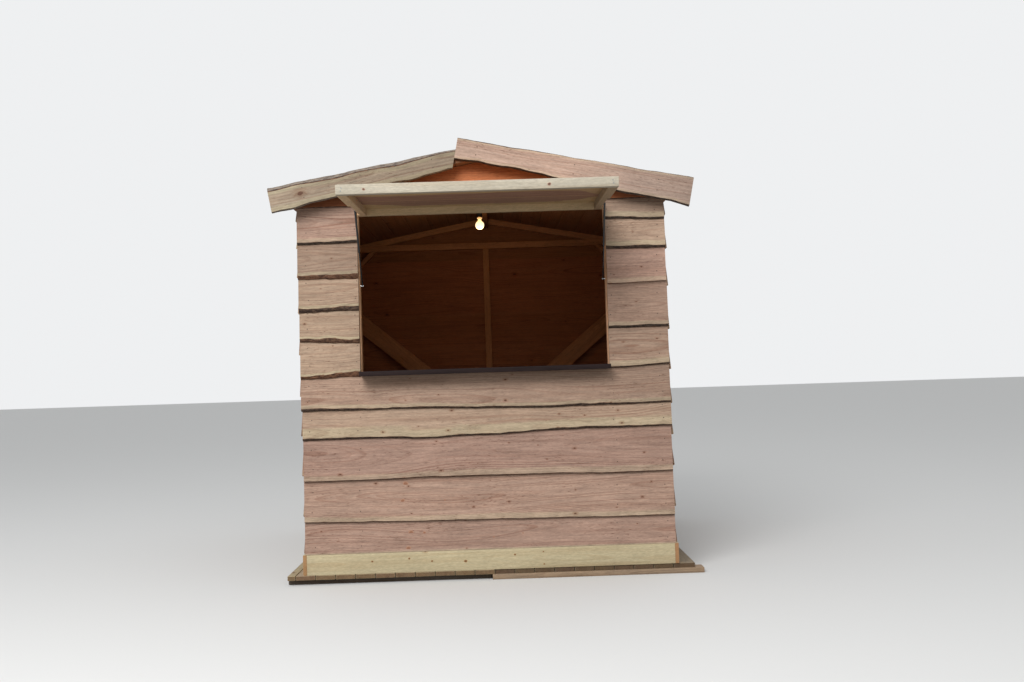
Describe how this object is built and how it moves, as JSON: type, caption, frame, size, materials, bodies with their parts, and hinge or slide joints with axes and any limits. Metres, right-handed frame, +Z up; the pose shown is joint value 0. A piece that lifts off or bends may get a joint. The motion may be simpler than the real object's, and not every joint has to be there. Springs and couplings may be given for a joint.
{
  "type": "wooden market hut",
  "caption": "Small timber sales hut with a low gable roof, lapped live-edge boards and a top-hung serving hatch held open over the counter by gas struts.",
  "frame": {"origin": "centre of the wall footprint at ground level, on the underside of the middle floor bearer", "axes": "+X to the right seen from the serving side, +Y from the serving front into the hut, +Z up"},
  "size_m": [2.4906, 3.5446, 2.5705],
  "materials": {
    "boards": "planed, natural edges with bark",
    "pale_spruce": "planed, knotty",
    "frame_timber": "planed",
    "roof_boards": "rough",
    "hatch_panel": "planed",
    "floor_boards": "weathered",
    "plank_wood": "weathered",
    "counter_board": "dark stain",
    "roof_felt": "mineral surface",
    "hinge_steel": "zinc plated",
    "stud_steel": "bright",
    "rod_steel": "black",
    "strut_black": "black",
    "lamp_black": "matte",
    "lamp_glass": "frosted, lit"
  },
  "bodies": {
    "hut": {"front_pier_left": "boards", "front_pier_right": "boards", "front_wall_low": "boards", "front_gable": "boards", "left_wall": "boards", "right_wall": "boards", "back_wall": "boards", "back_gable": "boards", "bargeboard_left": "boards", "bargeboard_right": "boards", "back_bargeboards": "boards", "front_skirting": "pale_spruce", "side_skirtings": "pale_spruce", "back_skirting": "pale_spruce", "opening_posts": "pale_spruce", "sole_rails": "frame_timber", "corner_posts": "frame_timber", "sill_rail": "frame_timber", "top_rails": "frame_timber", "back_centre_post": "frame_timber", "back_braces": "frame_timber", "gable_rails": "frame_timber", "ridge_beam": "frame_timber", "roof_left": "roof_boards", "roof_right": "roof_boards", "floor_deck": "floor_boards", "ground_bearers": "floor_boards", "front_plank": "plank_wood", "counter": "counter_board", "roof_felt": "roof_felt", "hinges_fixed": "hinge_steel", "post_studs": "stud_steel", "lamp_holder": "lamp_black", "lamp_bulb": "lamp_glass"},
    "hatch": {"hatch_cross_rails": "pale_spruce", "hatch_side_rails": "pale_spruce", "hatch_boards": "hatch_panel", "hinges_moving": "hinge_steel", "hatch_studs": "stud_steel"},
    "left_strut_rod": {"strut_rod_left": "rod_steel"},
    "left_strut_cylinder": {"strut_cylinder_left": "strut_black"},
    "right_strut_rod": {"strut_rod_right": "rod_steel"},
    "right_strut_cylinder": {"strut_cylinder_right": "strut_black"}
  },
  "joints": [
    {"name": "hatch_hinge", "type": "hinge", "parent": "hut", "child": "hatch", "pos_m": [0, -1.25, 2.193], "axis": [1, 0, 0], "range_deg": [0, 88.7]},
    {"name": "left_strut_swing", "type": "hinge", "parent": "hut", "child": "left_strut_rod", "pos_m": [-0.7115, -1.188, 1.736], "axis": [1, 0, 0], "range_deg": [-27.12, 0]},
    {"name": "left_strut_slide", "type": "slide", "parent": "left_strut_rod", "child": "left_strut_cylinder", "axis": [0, 0.5151, -0.8571], "range_m": [0, 0.205]},
    {"name": "right_strut_swing", "type": "hinge", "parent": "hut", "child": "right_strut_rod", "pos_m": [0.7115, -1.188, 1.736], "axis": [1, 0, 0], "range_deg": [-27.12, 0]},
    {"name": "right_strut_slide", "type": "slide", "parent": "right_strut_rod", "child": "right_strut_cylinder", "axis": [0, 0.5151, -0.8571], "range_m": [0, 0.205]}
  ],
  "couplings": [
    {"joint": "left_strut_swing", "follows": "hatch_hinge", "ratio": -0.30566},
    {"joint": "left_strut_slide", "follows": "hatch_hinge", "m_per_rad": 0.13236},
    {"joint": "right_strut_swing", "follows": "hatch_hinge", "ratio": -0.30566},
    {"joint": "right_strut_slide", "follows": "hatch_hinge", "m_per_rad": 0.13236}
  ]
}
